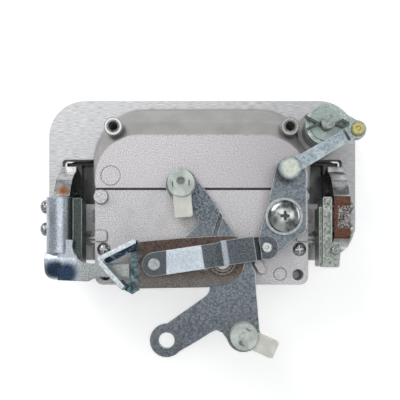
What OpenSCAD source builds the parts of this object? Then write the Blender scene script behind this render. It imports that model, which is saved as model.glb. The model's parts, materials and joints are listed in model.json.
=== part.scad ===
// Flush pull-handle lock for a vehicle's side luggage door, seen from the mechanism side.
// Drawn in the plane of the plate (x right, y up, z towards the mechanism side) and then
// stood up by upright(): +Z is up as installed and the mechanism faces -Y.

/* [Flange] */
// Width of the flange
flange_w = 200; // [190:1:220]
// Height of the flange
flange_h = 104; // [102:1:112]
// Thickness of the flange
flange_t = 8; // [6:0.5:10]
// Corner radius of the flange
flange_r = 23.5; // [18:0.5:28]

/* [Finger cup and housing] */
// Half width of the cup where it leaves the flange
cup_base_x = 70; // [69.5:0.5:72]
// Half width of the cup at its flat back
cup_back_x = 65; // [64:0.5:66]
// Top edge of the cup where it leaves the flange
cup_base_y = 46.5; // [44:0.5:48]
// Top edge of the cup's flat back
cup_back_y = 23.7; // [20:0.1:26]
// Lower edge of the cup's flat back
cup_low_y = -8.4; // [-9:0.1:-8]
// Corner radius of the cup where it leaves the flange
cup_base_r = 33; // [30:1:34]
// Corner radius of the cup's flat back
cup_back_r = 26.5; // [22:0.5:27]
// Depth from the flange's rear face to the back of the cup
depth = 27; // [25:1:30]
// Wall of the cup and of the lower box
wall = 2.5; // [2:0.5:3]
// Lower end of the box behind the handle
box_low_y = -50; // [-51:0.5:-48]
// Sideways place of the upper mounting bosses
boss_x = 53.7; // [52:0.1:55]
// Height of the upper mounting bosses
boss_y = 29.2; // [28:0.1:31]
// Outer radius of the upper mounting bosses
boss_r = 5.5; // [5:0.1:6]
// Height of the upper bosses above the flange
boss_h = 29; // [27:0.5:31]
// Radius of the threaded bore in the upper bosses
boss_bore_r = 2.5; // [2:0.1:3]

/* [Arm slots] */
// Inner edge of each arm slot
slot_in_x = 66; // [65.5:0.5:68]
// Outer edge of each arm slot
slot_out_x = 91.2; // [91:0.1:93]
// Upper edge of each arm slot
slot_top_y = 13.6; // [12:0.1:15]
// Lower edge of each arm slot
slot_low_y = -15.4; // [-17:0.1:-15]

/* [Mechanism plate] */
// Half width of the mechanism plate
plate_x = 65; // [64:0.5:66]
// Lower edge of the mechanism plate
plate_low_y = -67; // [-69:0.5:-65]
// Thickness of the mechanism plate
plate_t = 3; // [2.5:0.5:4]
// Sideways place of the plate's screws
plate_screw_x = 59.6; // [58:0.1:60]
// Height of the plate's screws
plate_screw_y = -45.5; // [-46:0.1:-44]
// Radius of the plate screws' shanks
plate_screw_r = 2.4; // [2:0.1:2.5]
// Sideways place of the lower mounting bores
foot_bore_x = 58.7; // [57:0.1:59]
// Height of the lower mounting bores
foot_bore_y = -61; // [-61.5:0.1:-60]
// Radius of the lower mounting bores
foot_bore_r = 3.4; // [3:0.1:3.6]
// Length of the lower mounting bores
foot_bore_len = 12; // [8:1:14]

/* [Pull handle] */
// Half width of the handle's grip
grip_x = 92; // [91:0.5:93]
// Top edge of the grip
grip_top_y = 14; // [12:0.5:15]
// Lower edge of the grip
grip_low_y = -35; // [-36:0.5:-33]
// Thickness of the grip
grip_t = 6.5; // [5:0.5:8]
// Gap between the flange's front and the grip
grip_gap = 2; // [2:0.5:3]
// Wall of the grip
grip_wall = 2.5; // [2:0.5:3]
// Inner side of each arm
arm_in_x = 80.6; // [80:0.1:81]
// Thickness of each arm
arm_t = 10; // [9:0.1:10.2]
// Outer radius that the arm sweeps about the hinge
arm_out_r = 46; // [45:0.5:46.5]
// Inner radius that the arm sweeps about the hinge
arm_in_r = 31; // [31:0.5:32]
// Height of the hinge axis
hinge_y = -38; // [-39:0.5:-37]
// Distance of the hinge axis behind the flange
hinge_z = 11; // [10:0.5:12]
// Radius of the hinge pin
hinge_pin_r = 3; // [2.5:0.1:3.5]
// Height of the arm's pad above the flange
pad_z = 28; // [27:0.5:29]

/* [Brackets] */
// Sheet thickness of the left bracket
bracket_t = 2.2; // [2:0.1:2.4]
// Width of the left bracket
bracket_w = 15.8; // [15.6:0.1:16.4]
// Upper end of both brackets
bracket_top_y = -14.4; // [-16:0.1:-14]
// Rear face of the left bracket's foot
foot_z = 36; // [35.5:0.1:36.2]
// Tip of the left bracket's foot
foot_tip_x = -42.8; // [-44:0.1:-42.6]
// Upper edge of the left bracket's foot
foot_top_y = -54; // [-55:0.1:-53.5]
// Width of the left bracket's foot
foot_w = 8.6; // [8:0.1:9]
// Upper side screw's height
side_screw_a_y = -19.3; // [-20:0.1:-18]
// Lower side screw's height
side_screw_b_y = -33; // [-34:0.1:-32]
// Height of the side screws above the flange
side_screw_z = 23; // [22:0.5:24]

/* [Rotor] */
// Main pivot, sideways
hub_x = 12.6; // [12:0.1:13]
// Main pivot, height
hub_y = -53.2; // [-54:0.1:-52]
// Thickness of the rotor
rotor_t = 3; // [2.5:0.1:3]
// Step of the rotor's upper arm towards the plate
rotor_step = 1.6; // [1:0.1:1.8]
// Radius of the rotor's bore
rotor_bore_r = 6.05; // [5:0.05:7]
// Radius of the rod clips' bores in the rotor
clip_bore_r = 4.6; // [4:0.1:5]
// Gap between the plate and the rotor's main level
rotor_lift = 3; // [2.8:0.1:3.2]

/* [V lever] */
// Thickness of the V lever
lever_t = 3; // [2.5:0.1:3]
// Radius of the V lever's hub end
lever_hub_r = 13.1; // [12:0.1:13.5]
// Radius of the guide post in the V lever's slot
guide_r = 4.2; // [4:0.1:4.4]
// Radius of the slot's half width over the guide post
slot_clearance = 0.05; // [0.02:0.01:0.1]
// Travel of the V lever when the key turns
lever_travel = 19.8; // [19:0.1:20.5]
// Distance from the main pivot to the rotor's guide pin
guide_pin_d = 10.5; // [10:0.1:11]
// Rear edge of the upper wing above the flange
wing_z = 48; // [47.5:0.1:49]

/* [Link and bell crank] */
// Left pivot of the middle link, sideways
link_left_x = -27.8; // [-28:0.1:-27]
// Left pivot of the middle link, height
link_left_y = -54.6; // [-55:0.1:-54]
// Right pivot of the middle link, sideways
link_right_x = 38.7; // [38:0.1:39]
// Right pivot of the middle link, height
link_right_y = -44.6; // [-45:0.1:-44]
// Half width of the middle link
link_half_w = 7; // [6.5:0.1:7.2]
// Thickness of the middle link
link_t = 2.5; // [2:0.1:2.8]
// Bell crank's pivot, sideways
crank_x = 49.1; // [49:0.1:49.5]
// Bell crank's pivot, height
crank_y = -26.1; // [-26.5:0.1:-25.5]
// Upper pivot of the bell crank, sideways
crank_top_x = 51.6; // [51:0.1:52]
// Upper pivot of the bell crank, height
crank_top_y = 1.2; // [1:0.1:1.5]
// Thickness of the bell crank
crank_t = 3; // [2.5:0.1:3]
// Height of the bell crank's front face above the flange
crank_z = 32; // [31.8:0.1:32.2]
// Shank radius of the crank's pivot screw
crank_screw_r = 4; // [3.5:0.1:4]
// Shank radius of the link rivets
rivet_r = 2.5; // [2:0.1:2.6]

/* [Key cylinder] */
// Key cylinder's axis, sideways
lock_x = 73.5; // [73:0.1:74]
// Key cylinder's axis, height
lock_y = 27.8; // [27.5:0.1:28.5]
// Radius of the cylinder's body
lock_r = 11; // [10:0.1:11]
// Radius of the key plug
plug_r = 7; // [6:0.1:8]
// Radius of the tail shaft
shaft_r = 4; // [3.5:0.1:4.2]
// Cam's rivet, sideways
cam_rivet_x = 91.5; // [91:0.1:92]
// Cam's rivet, height
cam_rivet_y = 24.5; // [24:0.1:25]
// Thickness of the cam plate
cam_t = 2.5; // [2:0.1:2.6]
// Front face of the cam plate above the flange
cam_z = 37; // [36.5:0.1:37.2]
// Radius of the cam's disc
cam_r = 12; // [11:0.1:12.5]
// Half width of the upper strap
strap_half_w = 3.7; // [3.2:0.1:4]
// Front face of the upper strap above the flange
strap_z = 42; // [41.8:0.1:42.4]
// Thickness of the upper strap
strap_t = 2.4; // [2:0.1:2.5]
// Thickness of the split pin behind the lock
wire_t = 1.4; // [1.2:0.1:1.4]

/* [Rod clips] */
// Radius of a rod clip's head
clip_head_r = 8.4; // [8:0.1:9]
// Length of a rod clip from its pivot to its mouth
clip_len = 20.3; // [18:0.1:22]
// Width of a rod clip's tail
clip_w = 10.8; // [10:0.1:11.5]
// Depth of a rod clip
clip_t = 9; // [8.5:0.1:10]
// Radius of the rod's bore in a clip
rod_r = 3; // [2.5:0.1:3.2]

/* [Hidden] */

$fn = 64;
e = 0.01;
seat = 0.3;
run_gap = 0.05;
blend = 0.05;
bore_fn = 96;

plate_z = depth - plate_t;
rotor_z = depth + rotor_lift;
rotor_top = rotor_z + rotor_t;
low_rotor_z = rotor_z - rotor_step;
low_rotor_top = low_rotor_z + rotor_t;
lever_z = rotor_top + seat;
lever_top = lever_z + lever_t;
washer_t = 1;
post_top = lever_top + washer_t + 0.1;
link_z = post_top + seat;
link_mid_z = link_z + 0.9;
link_high_z = link_mid_z + 1.1;
crank_top_z = crank_z + crank_t;
link_right_z = crank_top_z + seat;
link_len = norm([link_right_x - link_left_x, link_right_y - link_left_y]);
link_angle = atan2(link_right_y - link_left_y, link_right_x - link_left_x);
slide_angle = atan2(hub_y - link_left_y, hub_x - link_left_x);
cam_top = cam_z + cam_t;
tail_washer_t = 1;
shaft_end = strap_z + 4.5;
strap_len = norm([cam_rivet_x - crank_top_x, cam_rivet_y - crank_top_y]);
strap_angle = atan2(cam_rivet_y - crank_top_y, cam_rivet_x - crank_top_x);
strap_end_z = cam_top + seat;
front_z = -flange_t;
grip_back = front_z - grip_gap;
grip_front = grip_back - grip_t;
arm_out_x = arm_in_x + arm_t;
pin_half = arm_out_x + 0.6;
bracket_mid_x = arm_in_x + arm_t / 2;
web_r = bracket_w / 2;
web_z = 30;
inner_plate_t = 5.4;
inner_plate_x = bracket_mid_x - web_r - inner_plate_t;
inner_plate_z = 17;
screw_head_r = 4.1;
side_head_h = 3.8;
lock_boss_wall = 3;
lock_boss_z = 19;
inner_x = cup_back_x - wall;
screw_post_r = 4.6;
plate_top_y = cup_low_y - 0.6;
post_root_r = 5;
nut_x = 72;
nut_t = 3.2;
stop_r = 2.4;
stop_a = [34.2, -54];
stop_b = [36.2, -57.8];
clip_upper = [-12, -6.6];
clip_lower = [25.2, -97.1];
free_hole = [-20.9, -100.2];

// Stands the plate-plane drawing upright: z of the drawing becomes -Y
module upright() {
    rotate([90, 0, 0]) children();
}

// A slab with outline 2-D children between two heights
module slab(z0, z1) {
    translate([0, 0, z0]) linear_extrude(z1 - z0) children();
}

// A round-cornered rectangle given by its edges and one corner radius
module rounded(x0, x1, y0, y1, r) {
    translate([x0 + r, y0]) square([x1 - x0 - 2 * r, y1 - y0]);
    translate([x0, y0 + r]) square([x1 - x0, y1 - y0 - 2 * r]);
    for (x = [x0 + r, x1 - r], y = [y0 + r, y1 - r]) translate([x, y]) circle(r);
}

// A strap between two points with round ends, between two heights
module strap(a, b, ra, rb, z0, z1) {
    d = norm(b - a);
    wa = ra - blend;
    wb = rb - blend;
    post(a[0], a[1], ra, z0, z1);
    post(b[0], b[1], rb, z0, z1);
    translate(a) rotate(atan2(b[1] - a[1], b[0] - a[0])) slab(z0, z1)
        polygon([[0, wa], [d, wb], [d, -wb], [0, -wa]]);
}

// A cylinder at a point of the plate plane between two heights
module post(x, y, r, z0, z1) {
    translate([x, y, z0]) cylinder(r = r, h = z1 - z0, $fn = bore_fn);
}

// A ring groove around a point, cut into a face that looks to +z
module ring_groove(x, y, r, face) {
    translate([x, y, face - 0.3]) rotate_extrude() translate([r, 0]) square([0.4, 1]);
}

// A pan or domed head on its seat, axis along z
module dome_head(r, h) {
    rotate_extrude($fn = 48) intersection() {
        square([r, h]);
        translate([0, h - 1.15 * r]) circle(1.15 * r, $fn = 96);
    }
}

// The cross recess of a head, cut from above
module cross_recess(size, wide, deep) {
    for (turn = [0, 90]) rotate(turn) translate([-size / 2, -wide / 2, -deep])
        cube([size, wide, deep + 1]);
}

// A countersunk or peened rivet head, axis along z
module rivet_head(r, h) {
    rotate_extrude($fn = 48) polygon([
        [0, 0], [r, 0], [r, h * 0.6], [r - h * 0.4, h], [r * 0.35, h], [r * 0.25, h * 0.8], [0, h * 0.8]
    ]);
}

// Outline of the cup at a share of its depth, shrunk by an inset
module cup_outline(share, inset) {
    x = cup_base_x + (cup_back_x - cup_base_x) * share - inset;
    y = cup_base_y + (cup_back_y - cup_base_y) * share - inset;
    r = cup_base_r + (cup_back_r - cup_base_r) * share - inset;
    for (side = [-1, 1]) {
        translate([side * (x - r), y - r]) circle(r, $fn = 40);
        translate([side * (x - 4), cup_low_y + inset + 4]) circle(4, $fn = 24);
    }
}

// One tapering stage of the cup
module cup_stage(z0, z1, share0, share1, inset) {
    hull() {
        translate([0, 0, z0]) linear_extrude(e) cup_outline(share0, inset);
        translate([0, 0, z1 - e]) linear_extrude(e) cup_outline(share1, inset);
    }
}

// The whole cup as a solid: steep at the flange, flatter towards its back
module cup_solid(z0, inset, top) {
    cup_stage(z0, 9, 0, 0.17, inset);
    cup_stage(9 - e, 19, 0.17, 0.56, inset);
    cup_stage(19 - e, top, 0.56, 1, inset);
}

module arm_slot(side) {
    x0 = side > 0 ? slot_in_x : -slot_out_x;
    x1 = side > 0 ? slot_out_x : -slot_in_x;
    rounded(x0, x1, slot_low_y, slot_top_y, 2);
}

module housing_shell() {
    difference() {
        union() {
            slab(front_z, 0) rounded(-flange_w / 2, flange_w / 2, -flange_h / 2, flange_h / 2, flange_r);
            cup_solid(-e, 0, depth);
            slab(-e, plate_z) rounded(-cup_back_x, cup_back_x, box_low_y, cup_low_y + 8, 4);
            post(lock_x, lock_y, lock_r + lock_boss_wall, -e, lock_boss_z);
        }
        difference() {
            cup_solid(front_z - 1, wall, depth - wall);
            post(lock_x, lock_y, lock_r + lock_boss_wall, front_z - 2, lock_boss_z);
        }
        slab(front_z - 1, depth - wall) rounded(-inner_x, inner_x, grip_low_y + 3, 0, 3);
        slab(0, depth) rounded(-inner_x, inner_x, box_low_y + wall, cup_low_y - 0.6, 3);
        slab(plate_z, depth + 1) rounded(-plate_x - 1, plate_x + 1, box_low_y - 1, cup_low_y, 0.5);
        for (side = [-1, 1]) slab(front_z - 1, 1) arm_slot(side);
    }
}

module face_housing() {
    color("gainsboro") upright() difference() {
        union() {
            housing_shell();
            for (side = [-1, 1]) post(side * boss_x, boss_y, boss_r, front_z + 1, boss_h);
            for (side = [-1, 1]) post(side * plate_screw_x, plate_screw_y, screw_post_r, -1, plate_z);
            for (side = [-1, 1], y = [-51, -27]) translate([side * 68.5 - 2.5, y, -1]) cube([5, 8, 2.6]);
        }
        for (side = [-1, 1]) {
            post(side * boss_x, boss_y, boss_bore_r, 12, boss_h + 1);
            post(side * plate_screw_x, plate_screw_y, plate_screw_r, 8, depth);
        }
        post(lock_x, lock_y, lock_r + run_gap, front_z - 1, lock_boss_z + 1);
        hinge_bar(hinge_pin_r + run_gap, flange_w / 2);
        ring_groove(-55.5, -0.5, 5.7, depth);
    }
}

// A bar along the hinge axis, centred on the lock
module hinge_bar(r, half) {
    translate([-half, hinge_y, hinge_z]) rotate([0, 90, 0]) cylinder(r = r, h = 2 * half, $fn = bore_fn);
}

module mechanism_plate() {
    color("lightgray") upright() difference() {
        union() {
            slab(plate_z, depth) rounded(-plate_x, plate_x, plate_low_y, plate_top_y, 5);
            slab(plate_z, depth) rounded(-plate_x, plate_x, -30, plate_top_y, 1.5);
            for (side = [-1, 1]) post(side * foot_bore_x, foot_bore_y, 6, depth - foot_bore_len - 2, depth);
            post(crank_x, crank_y, 8, plate_z - 5, crank_z - seat);
            for (side = [-1, 1]) post(side * 61.3, -13.5, 4.2, plate_z, depth + 1.6);
            for (side = [-1, 1]) slab(plate_z, depth + 1.2) translate([side * 61.3, -37.3])
                rounded(-3.6, 3.6, -3.3, 3.3, 1.5);
            strap(stop_a, stop_b, stop_r, stop_r, plate_z, rotor_top);
            slab(plate_z - 2, depth) rounded(-50, 50, plate_low_y + 1, plate_low_y + 3, 0.9);
        }
        for (side = [-1, 1]) post(side * foot_bore_x, foot_bore_y, foot_bore_r, depth - foot_bore_len, depth + 1);
        for (side = [-1, 1]) post(side * plate_screw_x, plate_screw_y, plate_screw_r + 0.2, 0, depth + 1);
        post(hub_x, hub_y, post_root_r, 0, depth + 1);
        post(crank_x, crank_y, crank_screw_r, 0, crank_z + 1);
        ring_groove(47.8, -60.5, 3.6, depth);
    }
}

module plate_screws() {
    color("silver") upright() for (side = [-1, 1])
        translate([side * plate_screw_x, plate_screw_y, depth]) difference() {
            union() {
                dome_head(4.4, 2.2);
                translate([0, 0, -14]) cylinder(r = plate_screw_r - 0.02, h = 14 + e, $fn = bore_fn);
            }
            translate([0, 0, 2.2]) rotate(8 * side) cross_recess(5, 1.1, 1.3);
        }
}

// Side view of one arm: x is height above the hinge, y is distance behind it
module arm_profile() {
    difference() {
        union() {
            intersection() {
                circle(arm_out_r, $fn = 160);
                polygon([[0, grip_back - hinge_z], [60, grip_back - hinge_z], [60, -5], [42.5, -3],
                    [40, 3], [36, 8], [31, 12], [26, 14.5], [24.3, pad_z - hinge_z],
                    [-0.3, pad_z - hinge_z], [-6, 10], [-7, 0], [0, -3]]);
            }
            circle(7);
        }
        difference() {
            translate([0, -40]) square([arm_in_r + 20, 43.8]);
            difference() {
                circle(60);
                circle(arm_in_r, $fn = 160);
            }
            circle(7 + e);
        }
    }
}

module handle_arm(x0) {
    translate([x0, hinge_y, hinge_z]) rotate([0, 90, 0]) rotate(90)
        linear_extrude(arm_t) arm_profile();
}

module pull_handle() {
    color("dimgray") upright() difference() {
        union() {
            difference() {
                slab(grip_front, grip_back) rounded(-grip_x, grip_x, grip_low_y, grip_top_y, 8);
                slab(grip_front + grip_wall, grip_back + 1) rounded(-grip_x + grip_wall, grip_x - grip_wall,
                    grip_low_y + grip_wall, grip_top_y - grip_wall, 8 - grip_wall);
            }
            slab(grip_front + 1, grip_back) for (side = [-1, 1])
                rounded(side * bracket_mid_x - arm_t / 2, side * bracket_mid_x + arm_t / 2,
                    grip_low_y + 1, grip_top_y - 1, 0.5);
            for (x = [-60, -20, 20, 60]) translate([x - 1, grip_low_y + 1, grip_front + 1])
                cube([2, grip_top_y - grip_low_y - 2, grip_t - 1.5]);
            handle_arm(arm_in_x);
            handle_arm(-arm_out_x);
        }
        hinge_bar(hinge_pin_r + run_gap, flange_w / 2);
        for (x0 = [arm_in_x - 1, -arm_out_x - 1], y = [side_screw_a_y, side_screw_b_y])
            translate([x0, y, side_screw_z]) rotate([0, 90, 0]) cylinder(r = 1.9, h = arm_t + 2, $fn = bore_fn);
    }
}

module hinge_pin() {
    color("silver") upright() {
        hinge_bar(hinge_pin_r, pin_half);
        for (side = [-1, 1]) translate([side * (pin_half + 0.5), hinge_y, hinge_z]) rotate([0, side * 90, 0])
            translate([0, 0, -0.5 - e]) dome_head(4.2, 1.4);
    }
}

module pin_nuts() {
    color("silver") upright() for (side = [-1, 1])
        translate([side * nut_x - nut_t / 2, hinge_y, hinge_z]) rotate([0, 90, 0]) difference() {
            cylinder(r = 5, h = nut_t, $fn = 6);
            translate([0, 0, -1]) cylinder(r = hinge_pin_r + run_gap, h = nut_t + 2, $fn = bore_fn);
        }
}

// A ring of points around one station of the spring's wire
function spring_ring(a, r, pitch, wire) = [for (k = [0:7])
    let (c = wire * cos(45 * k), s = wire * sin(45 * k))
    [pitch * a / 360 + s, (r + c) * cos(a), (r + c) * sin(a)]];

// A torsion spring around the hinge axis, starting at x0
module torsion_spring(x0, turns, r, pitch, wire) {
    steps = 24 * turns;
    rings = [for (i = [0:steps]) spring_ring(i * 15, r, pitch, wire)];
    points = [for (ring = rings) each ring];
    sides = [for (i = [0:steps - 1], k = [0:7])
        [i * 8 + k, i * 8 + (k + 1) % 8, (i + 1) * 8 + (k + 1) % 8, (i + 1) * 8 + k]];
    caps = [[for (k = [7:-1:0]) k], [for (k = [0:7]) steps * 8 + k]];
    translate([x0, hinge_y, hinge_z]) polyhedron(points, concat(sides, caps), convexity = 6);
}

module torsion_spring_left() {
    color("darkslategray") upright() torsion_spring(-79.2, 2, 4.6, 1.9, 0.7);
}

module torsion_spring_right() {
    color("darkslategray") upright() torsion_spring(75.2, 2, 4.6, 1.9, 0.7);
}

// The thick plate along the inner side of one arm
module inner_plate(x0, top_z) {
    slab(inner_plate_z, top_z) rounded(x0, x0 + inner_plate_t, -55, bracket_top_y, 1.2);
}

// Half-round channel that covers the arm's pad
module channel_profile() {
    difference() {
        union() {
            translate([0, web_z]) circle(web_r);
            translate([-web_r, inner_plate_z]) square([bracket_w, web_z - inner_plate_z]);
        }
        translate([0, web_z]) circle(web_r - bracket_t);
        translate([bracket_t - web_r, 0]) square([bracket_w - 2 * bracket_t, web_z]);
    }
}

// Outline of the foot that reaches into the V lever, with a fillet under the channel
module foot_outline() {
    tip = foot_tip_x;
    low = foot_top_y - foot_w;
    fillet_r = 10.5;
    difference() {
        polygon([[-bracket_mid_x, -40], [-76.8, -40], [-66.3, foot_top_y - 0.02], [tip, foot_top_y],
            [tip, low], [-62, low + 0.6], [-67.5, low - 2.2], [-bracket_mid_x, low - 1.5]]);
        translate([-66.3, foot_top_y + fillet_r]) circle(fillet_r);
    }
}

// The rounded box at the channel's lower end, lying along x
module foot_pillow(x0, x1, r, inset) {
    intersection() {
        translate([x0 - 1, -53.6, foot_z - 10.6]) rotate([0, 90, 0]) cylinder(r = r, h = x1 - x0 + 2);
        slab(inner_plate_z, foot_z + 4) rounded(x0 + inset, x1 - inset, -64 + inset, -45.2 - inset, 5 - inset);
    }
}

module left_bracket() {
    x0 = -bracket_mid_x - web_r;
    color("lightsteelblue") upright() difference() {
        union() {
            translate([-bracket_mid_x, bracket_top_y, 0]) rotate([90, 0, 0])
                linear_extrude(bracket_top_y + 48) channel_profile();
            inner_plate(-inner_plate_x - inner_plate_t, foot_z - 5.5);
            slab(foot_z - 3, foot_z) foot_outline();
            difference() {
                foot_pillow(x0, -74, 11, 0);
                foot_pillow(x0, -74, 11 - bracket_t, bracket_t);
            }
        }
        for (y = [side_screw_a_y, side_screw_b_y]) translate([x0 - 1, y, side_screw_z])
            rotate([0, 90, 0]) cylinder(r = 1.95, h = bracket_w + 8, $fn = bore_fn);
    }
}

module right_bracket() {
    x0 = inner_plate_x;
    color("lightsteelblue") upright() difference() {
        union() {
            inner_plate(x0, foot_z);
            slab(foot_z - 3.4, foot_z) rounded(x0, 82.6, -52.6, -41.6, 1);
            slab(foot_z - 12, foot_z - 1.5) rounded(x0, 82.6, -56.4, -51.6, 1.5);
            slab(inner_plate_z, foot_z - 4) rounded(x0 - 1.6, x0 + 1, -56, -20, 0.8);
        }
        for (y = [side_screw_a_y, side_screw_b_y]) translate([x0 - 3, y, side_screw_z])
            rotate([0, 90, 0]) cylinder(r = 1.95, h = inner_plate_t + 6, $fn = bore_fn);
        post(79.6, -46.2, 2.1, foot_z - 8, foot_z + 1);
    }
}

// Two screws through one arm, heads outward
module side_screws(side, head_x, tip_x) {
    for (y = [side_screw_a_y, side_screw_b_y]) translate([side * head_x, y, side_screw_z])
        rotate([0, side * 90, 0]) difference() {
            union() {
                dome_head(screw_head_r, side_head_h);
                translate([0, 0, tip_x - head_x]) cylinder(r = 1.88, h = head_x - tip_x + e, $fn = bore_fn);
            }
            translate([0, 0, side_head_h]) rotate(30) cross_recess(4.6, 1, 1.8);
        }
}

module left_side_screws() {
    color("silver") upright() side_screws(-1, bracket_mid_x + web_r, inner_plate_x + 1);
}

module right_side_screws() {
    color("silver") upright() side_screws(1, arm_out_x, inner_plate_x + 1);
}

module bracket_rivet() {
    color("silver") upright() translate([79.6, -46.2, foot_z]) {
        rivet_head(2.8, 1.2);
        translate([0, 0, -4.4]) cylinder(r = 2.1, h = 4.4 + e, $fn = bore_fn);
    }
}

// The rotor before it is bored and stepped
module rotor_blank() {
    z0 = low_rotor_z - 1;
    z1 = rotor_top + 1;
    post(clip_upper[0], clip_upper[1], 9.6, z0, z1);
    post(free_hole[0], free_hole[1], 10.2, z0, z1);
    post(clip_lower[0], clip_lower[1], 10.2, z0, z1);
    post(hub_x, hub_y, 13, z0, z1);
    slab(z0, z1) polygon([[-20.4, -10.5], [-18, -1.2], [-12, 2.4], [-5.4, -0.9], [2.5, -9.8],
        [12, -23.8], [13.6, -27.3], [22.3, -39.7], [32.4, -59.5], [32.8, -69.7], [33.8, -80.6],
        [35, -95.6], [25, -100], [15.4, -99.7], [12.3, -95.6], [8.9, -94.1], [5.5, -95.6],
        [-1.3, -100], [-14.4, -107.6], [-22, -104], [-26.5, -94], [-1.3, -76.1], [3, -73],
        [4.6, -70.5], [5, -66.3], [-9, -63], [-12, -58], [-12, -44], [-9.5, -37.8], [-2.6, -31],
        [-1.9, -29], [-2.6, -26.3], [-7.5, -21]]);
}

// Where the rotor's guide pin stands
function guide_pin_at() =
    [hub_x - guide_pin_d * cos(slide_angle), hub_y - guide_pin_d * sin(slide_angle)];

// The stepped sheet that the rotor is cut from, seen along the step
module rotor_sheet() {
    polygon([[-80, rotor_z], [-1.5, rotor_z], [1.5, low_rotor_z], [70, low_rotor_z],
        [70, low_rotor_top], [1.5, low_rotor_top], [-1.5, rotor_top], [-80, rotor_top]]);
}

module rotor_plate() {
    z0 = low_rotor_z - 2;
    z1 = rotor_top + 2;
    pin = guide_pin_at();
    color("slategray") upright() difference() {
        intersection() {
            rotor_blank();
            union() {
                translate([9.2, -33, 0]) rotate(162) translate([0, 37, 0]) rotate([90, 0, 0])
                    linear_extrude(137) rotor_sheet();
                slab(rotor_z, rotor_top) translate([-60, -130]) square([120, 61]);
            }
        }
        post(hub_x, hub_y, rotor_bore_r, z0, z1);
        for (at = [clip_upper, clip_lower, free_hole]) post(at[0], at[1], clip_bore_r, z0, z1);
        post(pin[0], pin[1], 2.5, z0, z1);
    }
}

module pivot_post() {
    color("silver") upright() {
        post(hub_x, hub_y, post_root_r - 0.02, plate_z, depth + e);
        post(hub_x, hub_y, 7.2, depth, rotor_z - 0.1);
        post(hub_x, hub_y, rotor_bore_r - run_gap, rotor_z - 0.1 - e, rotor_top + 0.1);
        post(hub_x, hub_y, guide_r, rotor_top, post_top);
    }
}

module hub_washer() {
    color("dimgray") upright() translate([hub_x, hub_y, lever_top + 0.1]) rotate_extrude($fn = 64)
        polygon([[guide_r + 0.02, 0], [8.4, 0], [8.4, 0.6], [7.9, washer_t], [6.6, washer_t],
            [6.2, 0.4], [4.8, 0.4], [4.8, 0.8], [guide_r + 0.02, 0.8]]);
}

module guide_pin() {
    at = guide_pin_at();
    color("silver") upright() {
        post(at[0], at[1], 2.48, low_rotor_z, rotor_top + e);
        post(at[0], at[1], guide_r, rotor_top, lever_top + 0.1);
    }
}

module lever_sheet() {
    right = hub_x + lever_hub_r;
    corner_r = 8;
    post(hub_x, hub_y, lever_hub_r, lever_z, lever_top);
    post(right - corner_r, -45.4, corner_r, lever_z, lever_top);
    slab(lever_z, lever_top) polygon([[-41.8, -44], [-38.4, -42.6], [-36.8, -41], [-12.3, -38.8],
        [10.3, -37.6], [right - corner_r, -37.6], [right - blend, -45.4], [right - blend, hub_y],
        [hub_x, -65.7], [3.9, -68.3], [-36, -69], [-41.8, -66]]);
}

// The straight slot that rides on the post and the guide pin
module lever_slot() {
    r = guide_r + slot_clearance;
    long = guide_pin_d + lever_travel;
    translate([hub_x, hub_y, 0]) rotate(slide_angle) {
        post(0, 0, r, lever_z - 1, lever_top + 1);
        post(-long, 0, r, lever_z - 1, lever_top + 1);
        translate([-long, 0.01 - r, lever_z - 1]) cube([long, 2 * r - 0.02, lever_t + 2]);
    }
}

// One leaf of the V lever from a to b, thick on its left side
module leaf(a, b, thick, z0, z1) {
    turn = atan2(b[1] - a[1], b[0] - a[0]);
    translate([a[0], a[1], z0]) rotate(turn) cube([norm(b - a), thick, z1 - z0]);
}

module v_lever() {
    apex = [-57.3, -52.2];
    foot_side = [-44, -67.2];
    bridge_z = foot_z + 9;
    color("saddlebrown") upright() union() {
        difference() {
            lever_sheet();
            lever_slot();
        }
        leaf(apex, [-38.6, -42.9], 2.7, lever_z, wing_z);
        leaf(foot_side, apex, 2.9, bridge_z, wing_z);
        leaf([-43.4, -67.7], [-46.9, -63.7], 2.7, lever_z, wing_z - 0.5);
        post(-57.8, -51.5, 2.1, bridge_z - 0.4, wing_z - 0.2);
        slab(lever_z, lever_top + 1.5) polygon([[-46, -69.6], [-43, -65.9], [-39.6, -64.2],
            [-36.4, -65.4], [-37, -70], [-41, -72.4]]);
        post(-39, -41.5, 1.5, lever_z + 0.2, wing_z - 0.2);
    }
}

// Side view of the middle link: along its length, and up from the flange
module link_side() {
    t = link_t;
    path = [[-8, link_z], [8.5, link_z], [27, link_mid_z], [37, link_mid_z], [44, link_high_z],
        [60, link_high_z], [63.4, link_right_z + 0.2], [80, link_right_z + 0.2]];
    polygon(concat(path, [for (i = [len(path) - 1:-1:0]) path[i] + [0, t]]));
}

module mid_link() {
    z0 = link_right_z - 1;
    z1 = link_high_z + link_t + 1;
    color("lightsteelblue") upright() translate([link_left_x, link_left_y, 0]) rotate(link_angle)
        difference() {
            intersection() {
                union() {
                    strap([0, 0], [link_len, 0], link_half_w + 0.2, link_half_w, z0, z1);
                    slab(z0, z1) polygon([[37, -5], [60, -5], [60, 7.6], [40, 7.8], [37, 6]]);
                }
                translate([0, 10, 0]) rotate([90, 0, 0]) linear_extrude(20) link_side();
            }
            for (x = [0, link_len]) post(x, 0, rivet_r + run_gap, z0, z1);
        }
}

module link_rivet_left() {
    color("silver") upright() translate([link_left_x, link_left_y, link_z]) {
        cylinder(r = rivet_r, h = link_t + 0.1, $fn = bore_fn);
        translate([0, 0, lever_top + seat - link_z]) cylinder(r = 4.4, h = link_z - lever_top - seat - 0.1);
        translate([0, 0, -0.1 - e]) cylinder(r = rivet_r, h = 0.2, $fn = bore_fn);
        translate([0, 0, link_t + 0.1 - e]) rivet_head(3.8, 1.6);
    }
}

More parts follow.
